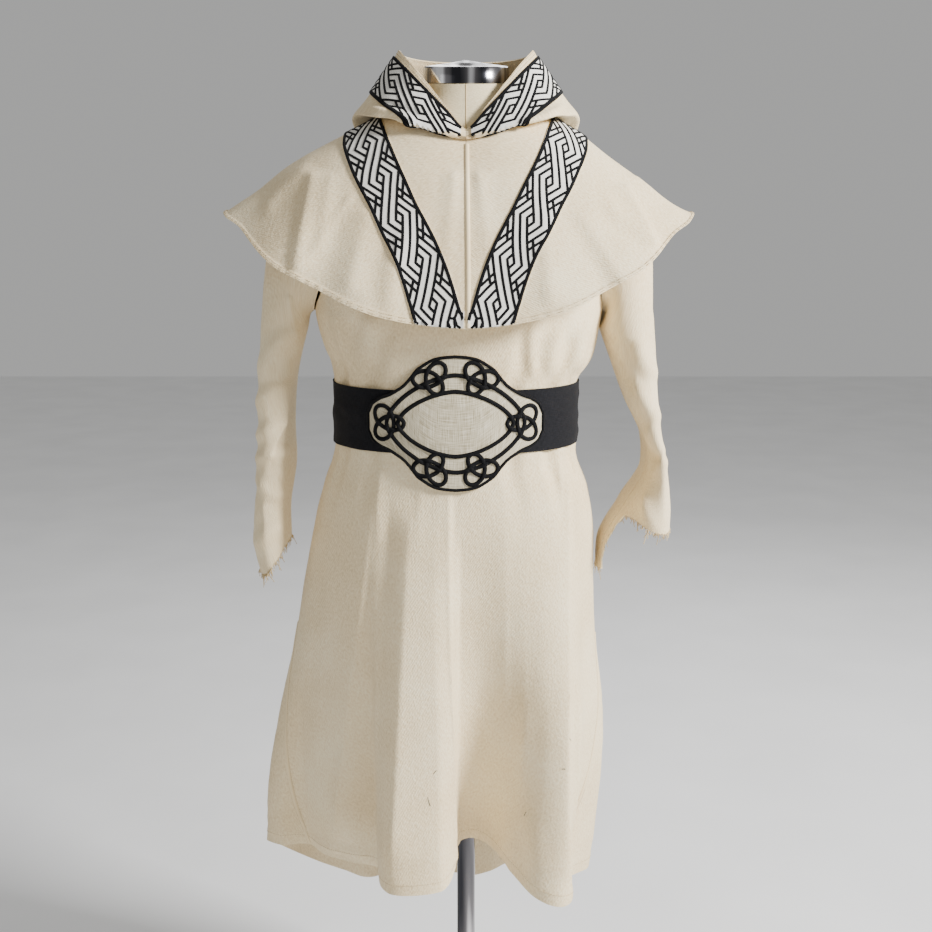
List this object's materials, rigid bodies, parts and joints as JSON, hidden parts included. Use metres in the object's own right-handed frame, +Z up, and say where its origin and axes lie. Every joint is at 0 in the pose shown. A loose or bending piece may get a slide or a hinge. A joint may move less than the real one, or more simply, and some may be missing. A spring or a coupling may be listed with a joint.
{
  "type": "druid robe on a dress form",
  "caption": "Cream cotton druid robe with knotwork-trimmed shoulder cape and hood, black sash belt and corded plate, worn by a limbless dress form on a pole stand.",
  "frame": {"origin": "on the floor, at the middle of the stand's foot", "axes": "+Z up, -Y to the front of the robe, +X to the right of somebody who looks at its front"},
  "size_m": [0.6524, 0.371, 1.603],
  "materials": {
    "canvas": "matt twill",
    "trim": "matt, black knotwork",
    "black_cloth": "matt",
    "linen": "matt, black cord",
    "form_cover": "matt",
    "chrome": "polished",
    "black_metal": "satin black"
  },
  "bodies": {
    "root": {"bodice_front": "canvas", "bodice_back": "canvas", "skirt_front_left": "canvas", "skirt_front_right": "canvas", "skirt_back_left": "canvas", "skirt_back_right": "canvas", "robe_gore_left": "canvas", "robe_gore_right": "canvas", "sleeve_left": "canvas", "sleeve_right_front": "canvas", "sleeve_right_back": "canvas", "cape_left": "canvas", "cape_right": "canvas", "hood_left": "canvas", "hood_right": "canvas", "cape_trim_left": "trim", "cape_trim_right": "trim", "hood_trim_left": "trim", "hood_trim_right": "trim", "belt_band": "black_cloth", "belt_plate": "linen", "form_torso": "form_cover", "form_cap": "chrome", "form_pole": "chrome", "form_foot": "black_metal"}
  },
  "joints": []
}
